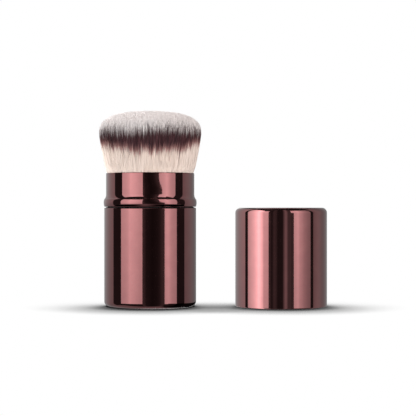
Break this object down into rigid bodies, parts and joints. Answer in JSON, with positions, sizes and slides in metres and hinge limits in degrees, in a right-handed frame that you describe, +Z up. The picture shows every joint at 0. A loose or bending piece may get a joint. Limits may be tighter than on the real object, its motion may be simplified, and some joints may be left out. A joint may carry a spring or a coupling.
{
  "type": "retractable makeup brush",
  "caption": "Twist-up powder brush: a dome of two-tone bristles in a round mirror-finished metal barrel with a beaded collar, its cap standing beside it.",
  "frame": {"origin": "middle of the flat underside of the barrel", "axes": "+Z up along the barrel's axis, +X from the barrel towards the cap that stands beside it, +Y away from the front"},
  "size_m": [0.0813, 0.0358, 0.0701],
  "materials": {
    "lacquered_aluminium": "mirror-gloss tinted lacquer over drawn aluminium",
    "black_abs": "moulded satin",
    "acetal": "moulded natural acetal",
    "steel": "bright turned steel",
    "silicone": "soft matt",
    "bare_aluminium": "drawn, bright",
    "resin": "cast epoxy",
    "bristle": "fine synthetic filament, cream with a dark band and pale tips"
  },
  "bodies": {
    "base": {"barrel_shell": "lacquered_aluminium", "barrel_liner": "black_abs", "barrel_weight": "steel", "cam_sleeve": "acetal", "thrust_washer": "acetal"},
    "collar": {"collar_shell": "lacquered_aluminium", "neck_liner": "black_abs", "guide_sleeve": "black_abs", "drag_ring": "silicone", "retaining_clip": "steel"},
    "brush": {"brush_carrier": "acetal", "guide_pin_left": "steel", "guide_pin_right": "steel", "ferrule": "bare_aluminium", "resin_plug": "resin", "bristle_head": "bristle"},
    "cap": {"cap_shell": "lacquered_aluminium", "cap_liner": "black_abs", "cap_weight": "steel"}
  },
  "joints": [
    {"name": "collar_twist", "type": "hinge", "parent": "base", "child": "collar", "pos_m": [0, 0, 0.03575], "axis": [0, 0, 1], "range_deg": [0, 360]},
    {"name": "brush_raise", "type": "slide", "parent": "collar", "child": "brush", "axis": [0, 0, 1], "range_m": [-0.02115, 0], "deforming": ["bristle_head"]},
    {"name": "cap_lift", "type": "slide", "parent": "base", "child": "cap", "axis": [0, 0, 1], "range_m": [0, 0.075]}
  ],
  "couplings": [
    {"joint": "brush_raise", "follows": "collar_twist", "m_per_rad": -0.003366}
  ]
}
